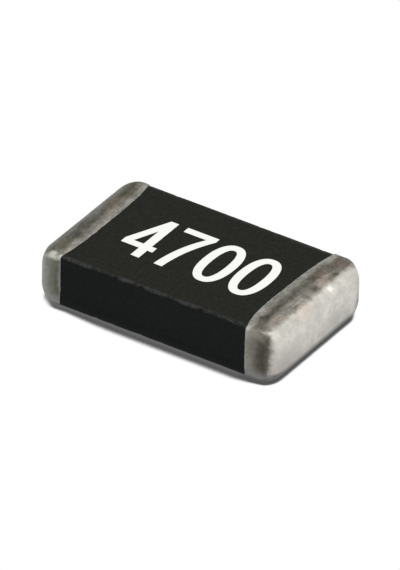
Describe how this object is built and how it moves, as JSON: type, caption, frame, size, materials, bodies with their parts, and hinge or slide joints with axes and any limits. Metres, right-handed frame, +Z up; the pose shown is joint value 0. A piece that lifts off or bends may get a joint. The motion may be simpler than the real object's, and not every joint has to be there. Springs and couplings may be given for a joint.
{
  "type": "smd ceramic capacitor",
  "caption": "Surface-mount ceramic chip capacitor: a flat black ceramic block with metal electrodes fired inside it and a plated metal cap over each end.",
  "frame": {"origin": "centre of the chip's footprint, on the surface that it stands on", "axes": "+X along the chip to the end whose termination reaches further, +Z up through the wide faces"},
  "size_m": [0.0032, 0.0018, 0.0007],
  "materials": {
    "ceramic": "satin, fired",
    "electrode": "fired nickel",
    "copper": "fired copper",
    "nickel": "plated nickel",
    "tin": "matte plated tin"
  },
  "bodies": {
    "root": {"ceramic_body": "ceramic", "left_electrode_1": "electrode", "right_electrode_1": "electrode", "left_electrode_2": "electrode", "right_electrode_2": "electrode", "left_electrode_3": "electrode", "right_electrode_3": "electrode", "left_electrode_4": "electrode", "right_electrode_4": "electrode", "left_electrode_5": "electrode", "right_electrode_5": "electrode", "left_electrode_6": "electrode", "right_electrode_6": "electrode", "left_electrode_7": "electrode", "right_electrode_7": "electrode", "left_electrode_8": "electrode", "right_electrode_8": "electrode", "left_copper_base": "copper", "left_nickel_barrier": "nickel", "left_tin_plating": "tin", "right_copper_base": "copper", "right_nickel_barrier": "nickel", "right_tin_plating": "tin"}
  },
  "joints": []
}
